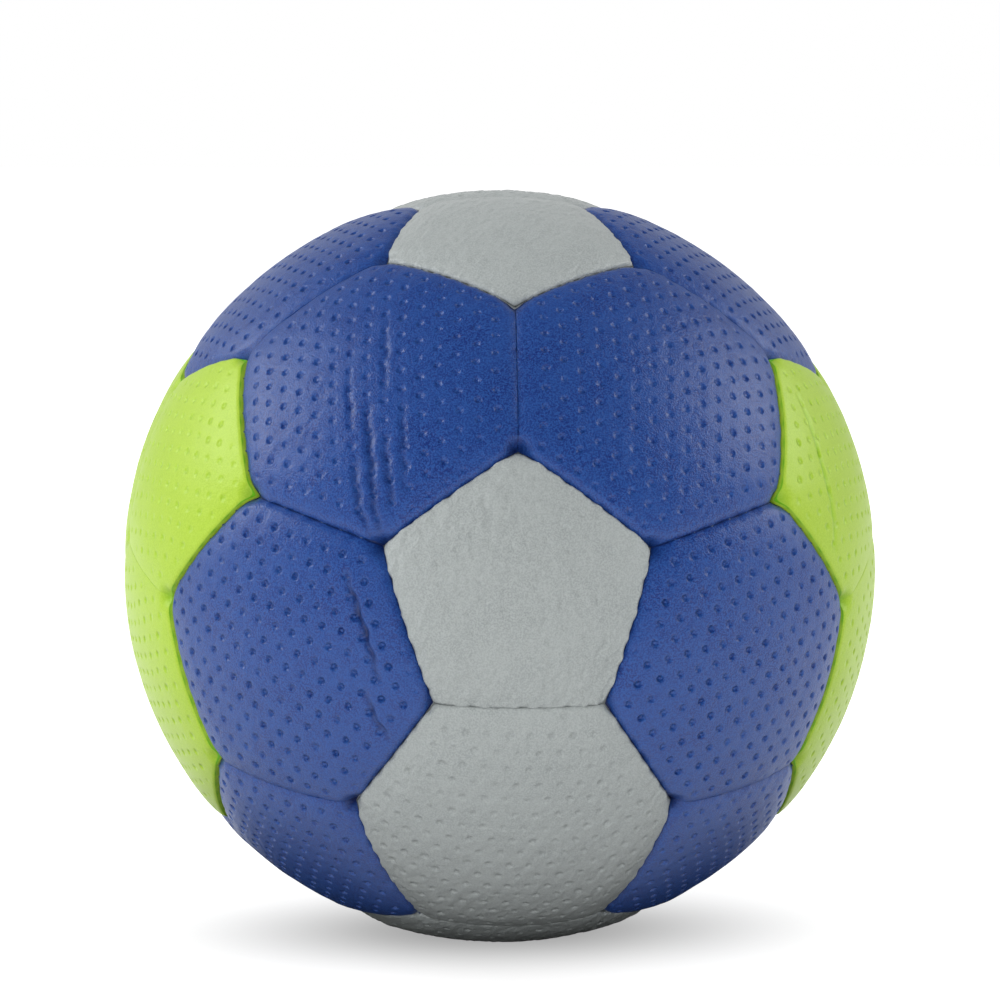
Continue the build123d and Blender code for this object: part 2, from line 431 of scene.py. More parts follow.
def seam_corners():
    """The 60 corners of the seams. Each lies on a pentagon, a third of the way to the next pentagon."""
    draw = np.random.default_rng(SEED)
    corners = {}
    for here, there in permutations(PENTAGONS, 2):
        if AXES[here] @ AXES[there] > NEXT_PENTAGON:
            ideal = unit(2 * AXES[here] + AXES[there])
            wobble = draw.normal(0, CORNER_JITTER / BALL_RADIUS, 3)
            seen = SEEN_CORNERS_PX.get((here, there))
            corners[here, there] = on_ball(seen, CORNER_DEPTH) if seen else unit(ideal + wobble)
    return corners


CORNERS = seam_corners()


def panel_corners(name):
    """A panel's corners, in turn around it as seen from outside, and its middle."""
    if name in PENTAGONS:
        ring = [spot for (here, there), spot in CORNERS.items() if here == name]
    else:
        near = {other for other in PENTAGONS if AXES[name] @ AXES[other] > BESIDE_HEXAGON}
        ring = [spot for pair, spot in CORNERS.items() if near.issuperset(pair)]
    ring = np.array(ring)
    middle = unit(ring.mean(0))
    side = unit(ring[0] - middle * (ring[0] @ middle))
    turns = np.arctan2(ring @ np.cross(middle, side), ring @ side)
    return ring[np.argsort(turns)], middle


# Panel meshes

@lru_cache
def fan_rings(sides, rows):
    """Rings of points from seam to middle: each point's ring, side and part of the side, and the faces."""
    spots, faces = [], []
    start = 0
    for row in range(rows):
        count = rows - row
        turn, step = np.divmod(np.arange(sides * count), count)
        after = start + sides * count
        after_size = max(sides * (count - 1), 1)
        here = start + np.arange(sides * count)
        ahead = np.roll(here, -1)
        inner = after + (turn * (count - 1) + step) % after_size
        inner_ahead = after + (turn * (count - 1) + step + 1) % after_size
        spots.append(np.stack([np.full(sides * count, row), turn, step / count], 1))
        faces.append(np.stack([here, ahead, inner], 1))
        faces.append(np.stack([ahead, inner_ahead, inner], 1)[step < count - 1])
        start = after
    spots.append(np.array([[rows, 0, 0]]))
    return np.concatenate(spots), np.concatenate(faces)


def fan(corners, middle, rows, start):
    """Directions of a panel's points, in rings that crowd towards the seam, and its faces."""
    spots, faces = fan_rings(len(corners), rows)
    share = start + (1 - start) * (spots[:, :1] / rows) ** ROW_CROWDING
    side = spots[:, 1].astype(int)
    edge = corners[side] * (1 - spots[:, 2:]) + corners[(side + 1) % len(corners)] * spots[:, 2:]
    return unit(middle * share + edge * (1 - share)), faces


def lip_shares(name, corners):
    """How much of the lip's depth each side of a panel has: less where both panels have one colour."""
    shares = []
    others = [other for other in PANELS if other != name]
    for centre in unit(corners + np.roll(corners, -1, axis=0)):
        across = max(others, key=lambda other: AXES[other] @ centre)
        usual = SAME_COLOUR_LIP[colour_of(name)] if colour_of(across) == colour_of(name) else 1.0
        shares.append(SEEN_LIPS.get(frozenset((name, across)), usual))
    return np.array(shares)


def seam_measures(spots, corners, middle):
    """Each point's distance from the seam, rounded at corners, its place along it, and the sides' weights."""
    gaps, runs = [], []
    for first, second in zip(corners, np.roll(corners, -1, axis=0)):
        inward = unit(np.cross(first, second))
        inward *= np.sign(inward @ middle)
        centre = unit(first + second)
        gaps.append(np.arcsin(spots @ inward) * BALL_RADIUS)
        runs.append(np.arctan2(spots @ np.cross(inward, centre), spots @ centre) * BALL_RADIUS)
    gaps, runs = np.array(gaps), np.array(runs)
    nearness = np.exp(-gaps / CORNER_ROUNDING)
    total = nearness.sum(0)
    along = np.take_along_axis(runs, gaps.argmin(0)[None], 0)[0]
    return -CORNER_ROUNDING * np.log(total), along, nearness / total


def hollow_depths(name, spots, corners):
    """How far the hollows at the corners of a panel sink each of its points."""
    total = np.zeros(len(spots))
    for pair, corner in CORNERS.items():
        if (corners @ corner).max() > SAME_CORNER:
            gap = np.arccos(np.clip(spots @ corner, -1, 1)) * BALL_RADIUS
            depth = SEEN_HOLLOWS.get(pair, HOLLOW_DEPTH) * HOLLOW_SHARE[colour_of(name)]
            total += depth * np.exp(-((gap / HOLLOW_WIDTH) ** 2))
    return total


def crease_depths(name, spots):
    """How far the creases of a panel sink each of its points."""
    total = np.zeros(len(spots))
    waves = np.sin(spots[:, [2, 0, 2]] * BALL_RADIUS / CREASE_WAVE_LENGTH)
    waved = spots * BALL_RADIUS + CREASE_WAVE * waves
    for panel, pixels, depth, width in CREASES:
        if panel != name:
            continue
        line = np.array([on_ball(pixel, 0) for pixel in pixels]) * BALL_RADIUS
        nearest = np.full(len(spots), np.inf)
        place = np.zeros(len(spots))
        length = 0
        for start, end in zip(line, line[1:]):
            run = end - start
            part = np.clip((waved - start) @ run / (run @ run), 0, 1)
            gap = np.linalg.norm(waved - start - part[:, None] * run, axis=1)
            place = np.where(gap < nearest, length + part * np.linalg.norm(run), place)
            nearest = np.minimum(gap, nearest)
            length += np.linalg.norm(run)
        fade = np.sin(pi * np.clip(place / length, CREASE_END, 1 - CREASE_END)) ** 0.5
        beat = np.cos(2 * pi * place / CREASE_STROKE)
        stroke = 1 - CREASE_STROKE_SHARE + CREASE_STROKE_SHARE * beat
        total += depth * fade * stroke * np.exp(-((nearest / width) ** 2))
    return total


def flange_faces(rim, ring, inner, low):
    """Faces of a sewn edge: from the fine outer rim down to a coarse low rim, and up to the inner skin."""
    step = rim // ring
    half = step // 2
    faces = []
    for index in range(ring):
        after = (index + 1) % ring
        fine = [(index * step + k) % rim for k in range(step + 1)]
        for k in range(step):
            faces.append((fine[k + 1], fine[k], low + (index if k < half else after)))
        faces.append((fine[half], low + index, low + after))
        faces.append((low + after, low + index, low + ring + index, low + ring + after))
        faces.append((low + ring + after, low + ring + index, inner + index, inner + after))
    return faces


def panel_base(name):
    """A panel before it is puffed: a closed tray on the ball, with what the tree reads at each point."""
    corners, middle = panel_corners(name)
    spots, faces = fan(corners, middle, PANEL_ROWS, SEWN_GAP / 2 / SEAM_TO_MIDDLE)
    inner, inner_faces = fan(corners, middle, INNER_ROWS, SKIN / SEAM_TO_MIDDLE)
    inner_seam = seam_measures(inner, corners, middle)[0]
    fall = np.clip(1 - inner_seam / PANEL_SIZES["Puff Width"], 0, 1)
    sunk = crease_depths(name, inner) + hollow_depths(name, inner, corners)
    sink = SKIN + PANEL_SIZES["Puff Height"] * fall**PUFF_POWER + sunk
    rim, ring = len(corners) * PANEL_ROWS, len(corners) * INNER_ROWS
    outside = spots * BALL_RADIUS
    inside = inner * (BALL_RADIUS - sink)[:, None]
    low_rim = spots[:rim:rim // ring] * (BALL_RADIUS - FLANGE_DEPTH)
    low_flange = inner[:ring] * (BALL_RADIUS - FLANGE_DEPTH)
    points = np.concatenate([outside, inside, low_rim, low_flange])
    count = len(spots)
    all_faces = faces.tolist() + (count + inner_faces[:, ::-1]).tolist()
    all_faces += flange_faces(rim, ring, count, count + len(inner))
    mesh = bpy.data.meshes.new(name)
    mesh.from_pydata((points * MM).tolist(), [], all_faces)

    seam, along, weights = seam_measures(spots, corners, middle)
    values = {
        "outside": np.ones(count),
        "seam_distance": seam,
        "along_seam": along,
        "lip_share": lip_shares(name, corners) @ weights,
        "crease": crease_depths(name, spots),
        "hollow": hollow_depths(name, spots, corners),
    }
    spare = len(points) - count
    for key, value in values.items():
        field = np.pad(value, (0, spare)).astype(np.float32)
        mesh.attributes.new(key, "FLOAT", "POINT").data.foreach_set("value", field)
    upright = (0, 0, 1) if abs(middle[2]) < NEAR_POLE else (0, 1, 0)
    side = unit(np.cross(upright, middle))
    place = np.stack([spots @ side, spots @ np.cross(middle, side)], 1) * BALL_RADIUS
    field = np.pad(place, ((0, spare), (0, 1))).astype(np.float32)
    mesh.attributes.new("panel_place", "FLOAT_VECTOR", "POINT").data.foreach_set("vector", field.ravel())
    return mesh


# Node trees

def add(tree, kind, links=None, **settings):
    """Adds a node with its settings, and fills or links its inputs by name or number."""
    made = tree.nodes.new(kind)
    for key, value in settings.items():
        setattr(made, key, value)
    for key, value in (links or {}).items():
        if isinstance(value, bpy.types.Node):
            value = next(socket for socket in value.outputs if socket.enabled)
        if isinstance(value, bpy.types.NodeSocket):
            tree.links.new(value, made.inputs[key])
        else:
            made.inputs[key].default_value = value
    return made


def shape_tree(name, sizes):
    """An empty geometry tree with a named input for each size and one for the material."""
    tree = bpy.data.node_groups.new(name, "GeometryNodeTree")
    tree.interface.new_socket("Geometry", in_out="INPUT", socket_type="NodeSocketGeometry")
    for key, value in sizes.items():
        kind = "NodeSocketInt" if isinstance(value, int) else "NodeSocketFloat"
        tree.interface.new_socket(key, in_out="INPUT", socket_type=kind).default_value = value
    tree.interface.new_socket("Material", in_out="INPUT", socket_type="NodeSocketMaterial")
    tree.interface.new_socket("Geometry", in_out="OUTPUT", socket_type="NodeSocketGeometry")
    return tree, tree.nodes.new("NodeGroupInput").outputs


def dimple(put, lattice, size):
    """How deep a pit is at a place, as a share: round pits in staggered rows, each of its own depth."""
    apart = put("ShaderNodeSeparateXYZ", {0: lattice})
    rows = put("ShaderNodeMath", {0: apart.outputs["Y"], 1: size["Row Pitch"]}, operation="DIVIDE")
    row = put("ShaderNodeMath", {0: rows}, operation="ROUND")
    odd = put("ShaderNodeMath", {0: row, 1: 2.0}, operation="FLOORED_MODULO")
    columns = put("ShaderNodeMath", {0: apart.outputs["X"], 1: size["Dimple Pitch"]}, operation="DIVIDE")
    across = put("ShaderNodeMath", {0: odd, 1: ROW_STAGGER, 2: columns}, operation="MULTIPLY_ADD")
    column = put("ShaderNodeMath", {0: across}, operation="ROUND")
    left = put("ShaderNodeMath", {0: across, 1: column}, operation="SUBTRACT")
    down = put("ShaderNodeMath", {0: rows, 1: row}, operation="SUBTRACT")
    off_x = put("ShaderNodeMath", {0: left, 1: size["Dimple Pitch"]}, operation="MULTIPLY")
    off_y = put("ShaderNodeMath", {0: down, 1: size["Row Pitch"]}, operation="MULTIPLY")
    off = put("ShaderNodeCombineXYZ", {"X": off_x, "Y": off_y})
    reach = put("ShaderNodeVectorMath", {0: off}, operation="LENGTH").outputs["Value"]
    width = put("ShaderNodeMath", {0: reach, 1: size["Dimple Diameter"]}, operation="DIVIDE")
    wall = {"Value": width, **PIT_WALL, **FALLING}
    bowl = put("ShaderNodeMapRange", wall, interpolation_type="SMOOTHSTEP")
    cell = put("ShaderNodeCombineXYZ", {"X": column, "Y": row, "Z": apart.outputs["Z"]})
    luck = put("ShaderNodeTexWhiteNoise", {"Vector": cell}, noise_dimensions="3D").outputs["Value"]
    own = put("ShaderNodeMapRange", {"Value": luck, **PIT_LUCK})
    return put("ShaderNodeMath", {0: bowl, 1: own}, operation="MULTIPLY")


def panel_tree():
    """Puffs a panel: rounded lips, a swollen crown, staggered dimples, swells, wrinkles and creases."""
    tree, size = shape_tree("sewn dimpled panel", {"Ball Radius": BALL_RADIUS, **PANEL_SIZES})
    put = partial(add, tree)
    place = put("GeometryNodeInputNamedAttribute", {"Name": "panel_place"}, data_type="FLOAT_VECTOR")
    seam, along, lip_share, crease, hollow, outside = (
        put("GeometryNodeInputNamedAttribute", {"Name": name}, data_type="FLOAT")
        for name in ("seam_distance", "along_seam", "lip_share", "crease", "hollow", "outside")
    )

    # Slow swells and fine wrinkles of a soft cover
    shift = put("ShaderNodeCombineXYZ", {"Z": size["Seed"]})
    seeded = put("ShaderNodeVectorMath", {0: place, 1: shift}, operation="ADD")
    swell_scale = put("ShaderNodeMath", {0: 1.0, 1: size["Swell Size"]}, operation="DIVIDE")
    swell = put("ShaderNodeTexNoise", {"Vector": seeded, "Scale": swell_scale, "Detail": 1.0})
    wave = put("ShaderNodeMath", {0: swell, 1: NOISE_MEAN}, operation="SUBTRACT")
    swell_rise = put("ShaderNodeMath", {0: wave, 1: size["Swell Height"]}, operation="MULTIPLY")
    lean = {"Vector": seeded, "Angle": -WRINKLE_LEAN}
    leaning = put("ShaderNodeVectorRotate", lean, rotation_type="Z_AXIS")
    drawn = put("ShaderNodeVectorMath", {0: leaning, 1: (WRINKLE_STRETCH, 1.0, 1.0)}, operation="MULTIPLY")
    wrinkle_scale = put("ShaderNodeMath", {0: 1.0, 1: size["Wrinkle Size"]}, operation="DIVIDE")
    crumple = {"Vector": drawn, "Scale": wrinkle_scale, "Detail": 2.0, "Distortion": 0.6}
    wrinkle = put("ShaderNodeTexNoise", crumple)
    fold = put("ShaderNodeMath", {0: wrinkle, 1: NOISE_MEAN}, operation="SUBTRACT")
    wrinkle_rise = put("ShaderNodeMath", {0: fold, 1: size["Wrinkle Height"]}, operation="MULTIPLY")

    # The lip: rounded down to the seam, drawn in at each stitch and a little ragged
    pace = put("ShaderNodeMath", {0: 2 * pi, 1: size["Stitch Pitch"]}, operation="DIVIDE")
    turn = put("ShaderNodeMath", {0: along, 1: pace}, operation="MULTIPLY")
    beat = put("ShaderNodeMath", {0: turn}, operation="COSINE")
    hold = put("ShaderNodeMath", {0: STITCH_HOLD, 1: beat}, operation="SUBTRACT")
    ragged = put("ShaderNodeMath", {0: fold, 1: size["Ragged Edge"]}, operation="MULTIPLY")
    pull = put("ShaderNodeMath", {0: hold, 1: size["Scallop"], 2: ragged}, operation="MULTIPLY_ADD")
    near = put("ShaderNodeMapRange", {"Value": seam, "From Max": STITCH_REACH, **FALLING})
    edge = put("ShaderNodeMath", {0: pull, 1: near, 2: seam}, operation="MULTIPLY_ADD")
    lip = put("ShaderNodeMapRange", {"Value": edge, "From Max": size["Lip Width"], **FALLING})
    lip_round = put("ShaderNodeMath", {0: lip, 1: LIP_POWER}, operation="POWER")
    lip_depth = put("ShaderNodeMath", {0: lip_share, 1: size["Lip Depth"]}, operation="MULTIPLY")
    lip_drop = put("ShaderNodeMath", {0: lip_round, 1: lip_depth}, operation="MULTIPLY")

    # The crown: swollen from the seams up, and less beside a closed seam
    fall = put("ShaderNodeMapRange", {"Value": edge, "From Max": size["Puff Width"], **FALLING})
    fall_round = put("ShaderNodeMath", {0: fall, 1: PUFF_POWER}, operation="POWER")
    opened = {0: lip_share, 1: 1 - CLOSED_PUFF, 2: CLOSED_PUFF}
    puff_share = put("ShaderNodeMath", opened, operation="MULTIPLY_ADD")
    puff_height = put("ShaderNodeMath", {0: puff_share, 1: size["Puff Height"]}, operation="MULTIPLY")
    puff_drop = put("ShaderNodeMath", {0: fall_round, 1: puff_height}, operation="MULTIPLY")

    # Dimples: the lattice wanders a little and is turned, and the pits fade out at the lip
    wander = put("ShaderNodeTexNoise", {"Vector": seeded, "Scale": WANDER_SCALE, "Detail": 1.0})
    drift = {0: wander.outputs["Color"], 1: (NOISE_MEAN, NOISE_MEAN, NOISE_MEAN)}
    centred = put("ShaderNodeVectorMath", drift, operation="SUBTRACT")
    carried = {0: centred, 1: (WANDER_REACH, WANDER_REACH, 0.0), 2: seeded}
    moved = put("ShaderNodeVectorMath", carried, operation="MULTIPLY_ADD")
    origin = put("ShaderNodeCombineXYZ", {"X": size["Lattice X"], "Y": size["Lattice Y"]})
    from_origin = put("ShaderNodeVectorMath", {0: moved, 1: origin}, operation="SUBTRACT")
    turned = {"Vector": from_origin, "Angle": size["Lattice Turn"]}
    lattice = put("ShaderNodeVectorRotate", turned, rotation_type="Z_AXIS")
    inside = put("ShaderNodeMapRange", {"Value": seam, **PIT_START}, interpolation_type="SMOOTHSTEP")
    pit_depth = put("ShaderNodeMath", {0: inside, 1: size["Dimple Depth"]}, operation="MULTIPLY")
    pit_drop = put("ShaderNodeMath", {0: dimple(put, lattice, size), 1: pit_depth}, operation="MULTIPLY")

    # All together, along the line from the ball's middle
    edge_drop = put("ShaderNodeMath", {0: lip_drop, 1: puff_drop}, operation="ADD")
    drop = put("ShaderNodeMath", {0: edge_drop, 1: pit_drop}, operation="ADD")
    sunk = put("ShaderNodeMath", {0: crease, 1: hollow}, operation="ADD")
    soft_rise = put("ShaderNodeMath", {0: swell_rise, 1: wrinkle_rise}, operation="ADD")
    rise = put("ShaderNodeMath", {0: soft_rise, 1: sunk}, operation="SUBTRACT")
    puffed = put("ShaderNodeMath", {0: size["Ball Radius"], 1: drop}, operation="SUBTRACT")
    height = put("ShaderNodeMath", {0: puffed, 1: rise}, operation="ADD")
    metres = put("ShaderNodeMath", {0: height, 1: MM}, operation="MULTIPLY")
    outward = put("ShaderNodeVectorMath", {0: put("GeometryNodeInputPosition")}, operation="NORMALIZE")
    spot = put("ShaderNodeVectorMath", {0: outward, "Scale": metres}, operation="SCALE")
    lifted = {"Geometry": size["Geometry"], "Selection": outside, "Position": spot}
    panel = put("GeometryNodeSetPosition", lifted)

    # What the material reads
    groove = put("ShaderNodeMath", {0: lip, 1: outside}, operation="MULTIPLY")
    kept = {
        "lattice": (lattice, "FLOAT_VECTOR"),
        "pit_depth": (pit_depth, "FLOAT"),
        "groove": (groove, "FLOAT"),
    }
    for name, (value, kind) in kept.items():
        stored = {"Geometry": panel, "Name": name, "Value": value}
        panel = put("GeometryNodeStoreNamedAttribute", stored, data_type=kind, domain="POINT")
    smooth = put("GeometryNodeSetShadeSmooth", {"Geometry": panel})
    whole = put("GeometryNodeRealizeInstances", {"Geometry": smooth})
    done = put("GeometryNodeSetMaterial", {"Geometry": whole, "Material": size["Material"]})
    put("NodeGroupOutput", {"Geometry": done})
    return tree


def stitch_tree():
    """Puts a thread that crosses the seam at each stitch hole along every seam."""
    tree, size = shape_tree("seam stitches", STITCH_SIZES)
    put = partial(add, tree)
    half, slant, rise, radius = (
        put("ShaderNodeMath", {0: size[name], 1: MM}, operation="MULTIPLY")
        for name in ("Half Width", "Slant", "Rise", "Thread Radius")
    )
    end = put("ShaderNodeCombineXYZ", {"X": slant, "Y": half})
    start = put("ShaderNodeVectorMath", {0: end, "Scale": -1.0}, operation="SCALE")
    top = put("ShaderNodeCombineXYZ", {"Z": rise})
    bow = {"Resolution": THREAD_STEPS, "Start": start, "Middle": top, "End": end}
    arch = put("GeometryNodeCurveQuadraticBezier", bow)
    section = put("GeometryNodeCurvePrimitiveCircle", {"Resolution": THREAD_SIDES, "Radius": radius})
    thread = put("GeometryNodeCurveToMesh", {"Curve": arch, "Profile Curve": section, "Fill Caps": True})
    seams = put("GeometryNodeMeshToCurve", {"Mesh": size["Geometry"]})
    spread = put("GeometryNodeResampleCurve", {"Curve": seams, "Count": size["Stitch Count"]})
    outward = put("ShaderNodeVectorMath", {0: put("GeometryNodeInputPosition")}, operation="NORMALIZE")
    axes = {0: outward, 1: put("GeometryNodeInputTangent")}
    facing = put("FunctionNodeAxesToRotation", axes, primary_axis="Z", secondary_axis="X")
    placed = put("GeometryNodeInstanceOnPoints", {"Points": spread, "Instance": thread, "Rotation": facing})
    whole = put("GeometryNodeRealizeInstances", {"Geometry": placed})
    smooth = put("GeometryNodeSetShadeSmooth", {"Geometry": whole})
    done = put("GeometryNodeSetMaterial", {"Geometry": smooth, "Material": size["Material"]})
    put("NodeGroupOutput", {"Geometry": done})
    return tree


def settle(piece):
    """Gives a piece the plain mesh that its modifiers make, and takes them off."""
    bpy.context.view_layer.update()
    ready = piece.evaluated_get(bpy.context.evaluated_depsgraph_get())
    made = bpy.data.meshes.new_from_object(ready)
    piece.modifiers.clear()
    piece.data = made


def shaped(mesh, tree, finish, **sizes):
    """The plain mesh object that a tree makes of a base mesh."""
    piece = bpy.data.objects.new(mesh.name, mesh)
    bpy.context.collection.objects.link(piece)
    modifier = piece.modifiers.new("shape", "NODES")
    modifier.node_group = tree
    given = {**sizes, "Material": finish}
    for socket in tree.interface.items_tree:
        if socket.in_out == "INPUT" and socket.name in given:
            modifier[socket.identifier] = given[socket.name]
    settle(piece)
    piece.data.name = mesh.name
    return piece


# Materials

def linear(code):
    """An sRGB hex colour as linear red, green, blue and alpha."""
    parts = [int(code[index:index + 2], 16) / 255 for index in (1, 3, 5)]
    light = [part / 12.92 if part <= 0.04045 else ((part + 0.055) / 1.055) ** 2.4 for part in parts]
    return (*light, 1.0)


def per_mm(size):
    """A texture scale for a pattern of the given size in millimetres."""
    return 1 / (size * MM)


def bands_per_mm(size):
    """A wave texture's scale for bands of the given size in millimetres: it has 20 radians to a unit."""
    return per_mm(size) * 2 * pi / WAVE_RADIANS


def material(name):
    """A new material, what adds nodes to it, and its Object coordinates."""
    made = bpy.data.materials.new(name)
    made.use_nodes = True
    made.node_tree.nodes.clear()
    put = partial(add, made.node_tree)
    return made, put, put("ShaderNodeTexCoord").outputs["Object"]


def polyurethane_suede(colour_name, colour, painted_shade, light, relief_height, shine, pit_painted_shade):
    """Foamed polyurethane with a brushed nap: matt, speckled by its grain, paler where the nap lies flat,
    with painted shade in its pits, seams, creases and hollows.
    """
    made, put, where = material("polyurethane suede " + colour_name)
    lattice = put("ShaderNodeAttribute", attribute_name="lattice").outputs["Vector"]
    pit_depth, groove, lip_share, crease, hollow = (
        put("ShaderNodeAttribute", attribute_name=name).outputs["Fac"]
        for name in ("pit_depth", "groove", "lip_share", "crease", "hollow")
    )

    # Its colour: speckled by the nap and worn paler in patches
    fine = {"Vector": where, "Scale": per_mm(NAP_SIZE), "Detail": 1.0, "Roughness": 0.6}
    nap = put("ShaderNodeTexNoise", fine)
    mottle = put("ShaderNodeTexNoise", {"Vector": where, "Scale": per_mm(MOTTLE_SIZE), "Detail": 3.0})
    speckle = put("ShaderNodeMapRange", {"Value": nap, **SPECKLE})
    patch = put("ShaderNodeMapRange", {"Value": mottle, **WORN_PATCHES})
    body = put("ShaderNodeMix", {0: speckle, MIX_A: linear(colour), MIX_B: linear(light)}, data_type="RGBA")
    worn = put("ShaderNodeMix", {0: patch, MIX_A: body, MIX_B: linear(light)}, data_type="RGBA")

    # Painted shade: a darker colour in the pits, along the seams, and in creases and hollows, where the
    # relief is shaded
    pits = dimple(put, lattice, PANEL_SIZES)
    pit = put("ShaderNodeMath", {0: pits, 1: pit_depth}, operation="MULTIPLY")
    pit_share = put("ShaderNodeMath", {0: pit, 1: pit_painted_shade}, operation="MULTIPLY")
    groove_line = put("ShaderNodeMath", {0: groove, 1: GROOVE_POWER}, operation="POWER")
    groove_share = put("ShaderNodeMath", {0: groove_line, 1: lip_share}, operation="MULTIPLY")
    crease_share = put("ShaderNodeMath", {0: crease, 1: CREASE_PAINTED_SHADE}, operation="MULTIPLY")
    sunk = {0: hollow, 1: HOLLOW_PAINTED_SHADE, 2: crease_share}
    sunk_share = put("ShaderNodeMath", sunk, operation="MULTIPLY_ADD")
    deep = put("ShaderNodeMath", {0: pit_share, 1: groove_share}, operation="MAXIMUM", use_clamp=True)
    painted_shade_share = put("ShaderNodeMath", {0: deep, 1: sunk_share}, operation="MAXIMUM", use_clamp=True)
    colour_with_painted_shade = put("ShaderNodeMix", {0: painted_shade_share, MIX_A: worn, MIX_B: linear(painted_shade)}, data_type="RGBA")

    # Its relief: pressed pits, and over them the nap and a coarser grain
    coarse = {"Vector": where, "Scale": per_mm(GRAIN_SIZE), "Detail": 2.0, "Distortion": 0.8}
    grain = put("ShaderNodeTexNoise", coarse)
    relief = put("ShaderNodeMath", {0: grain, 1: GRAIN_SHARE, 2: nap}, operation="MULTIPLY_ADD")
    pressed = put("ShaderNodeBump", {"Height": pit, "Strength": PIT_BUMP, "Distance": MM}, invert=True)
    raised = {"Height": relief, "Strength": RELIEF_BUMP, "Distance": relief_height * MM, "Normal": pressed}
    bump = put("ShaderNodeBump", raised)
    rough = put("ShaderNodeMapRange", {"Value": nap, **SUEDE_ROUGHNESS})
    look = {"Base Color": colour_with_painted_shade, "Roughness": rough, "Normal": bump, "Specular IOR Level": shine}
    shader = put("ShaderNodeBsdfPrincipled", {**look, **SUEDE_SHEEN})
    put("ShaderNodeOutputMaterial", {"Surface": shader})
    return made


def twisted_polyester():
    """Waxed polyester thread: dull, with the fine slanting lines of its twist."""
    made, put, where = material("twisted polyester thread")
    lines = {"Vector": where, "Scale": bands_per_mm(TWIST_SIZE), "Distortion": 2.0}
    twist = put("ShaderNodeTexWave", lines, bands_direction="DIAGONAL").outputs["Fac"]
    tones = {0: twist, MIX_A: linear("#343f58"), MIX_B: linear("#5f6b84")}
    colour = put("ShaderNodeMix", tones, data_type="RGBA")
    bump = put("ShaderNodeBump", {"Height": twist, "Strength": 0.4, "Distance": TWIST_HEIGHT * MM})
    shader = put("ShaderNodeBsdfPrincipled", {"Base Color": colour, "Roughness": 0.6, "Normal": bump})
    put("ShaderNodeOutputMaterial", {"Surface": shader})
    return made


def moulded_rubber(name, colour, bloom, rough):
    """Butyl rubber from a mould: near black, with a greyish bloom and a fine pitted skin."""
    made, put, where = material(name)
    skin = put("ShaderNodeTexNoise", {"Vector": where, "Scale": per_mm(RUBBER_SIZE), "Detail": 4.0})
    cloud = put("ShaderNodeTexNoise", {"Vector": where, "Scale": per_mm(BLOOM_SIZE), "Detail": 3.0})
    mix = put("ShaderNodeMix", {0: cloud, MIX_A: linear(colour), MIX_B: linear(bloom)}, data_type="RGBA")
    span = {"To Min": rough - RUBBER_ROUGHNESS_SPREAD, "To Max": rough + RUBBER_ROUGHNESS_SPREAD}
    gloss = put("ShaderNodeMapRange", {"Value": skin, **span})
    bump = put("ShaderNodeBump", {"Height": skin, "Strength": 0.3, "Distance": RUBBER_HEIGHT * MM})
    shader = put("ShaderNodeBsdfPrincipled", {"Base Color": mix, "Roughness": gloss, "Normal": bump})
    put("ShaderNodeOutputMaterial", {"Surface": shader})
    return made


def closed_cell_foam():
    """EVA foam pad: off-white, matt, with small round cells."""
    made, put, where = material("closed-cell foam")
    cells = put("ShaderNodeTexVoronoi", {"Vector": where, "Scale": per_mm(CELL_SIZE)}).outputs["Distance"]
    tones = {0: cells, MIX_A: linear("#b9b6a8"), MIX_B: linear("#dedbcf")}
    colour = put("ShaderNodeMix", tones, data_type="RGBA")
    bump = put("ShaderNodeBump", {"Height": cells, "Strength": 0.5, "Distance": CELL_HEIGHT * MM})
    shader = put("ShaderNodeBsdfPrincipled", {"Base Color": colour, "Roughness": 0.9, "Normal": bump})
    put("ShaderNodeOutputMaterial", {"Surface": shader})
    return made


def woven_lining():
    """Plain-woven cotton and polyester cloth: natural white threads over and under, about 1.2 mm apart."""
    made, put, where = material("woven cotton lining")
    threads = {"Vector": where, "Scale": bands_per_mm(WEAVE_SIZE), "Distortion": 0.5}
    warp = put("ShaderNodeTexWave", threads, bands_direction="X").outputs["Fac"]
    weft = put("ShaderNodeTexWave", threads, bands_direction="Z").outputs["Fac"]
    weave = put("ShaderNodeMath", {0: warp, 1: weft}, operation="MULTIPLY")
    tones = {0: weave, MIX_A: linear("#a59f8e"), MIX_B: linear("#ddd8ca")}
    colour = put("ShaderNodeMix", tones, data_type="RGBA")
    bump = put("ShaderNodeBump", {"Height": weave, "Strength": 0.5, "Distance": WEAVE_HEIGHT * MM})
    shader = put("ShaderNodeBsdfPrincipled", {"Base Color": colour, "Roughness": 0.95, "Normal": bump})
    put("ShaderNodeOutputMaterial", {"Surface": shader})
    return made


# Pieces

def make_panels(covers):
    """A puffed piece for each CAD panel."""
    tree = panel_tree()
    made = {}
    for index, name in enumerate(PANELS):
        colour = colour_of(name)
        free = (FREE_TURN * index, COLOUR_SIZES[colour]["Dimple Depth"], 0, 0)
        turn, depth, x, y = SEEN_DIMPLES.get(name, free)
        sizes = {
            **COLOUR_SIZES[colour],
            "Dimple Depth": depth,
            "Lattice Turn": radians(turn),
            "Lattice X": float(x),
            "Lattice Y": float(y),
            "Seed": SEED_STEP * index,
        }
        sizes["Wrinkle Height"] = SEEN_WRINKLES.get(name, sizes["Wrinkle Height"])
        made[name] = shaped(panel_base(name), tree, covers[colour], **sizes)
        made[name].name = "panel_" + name
    return made


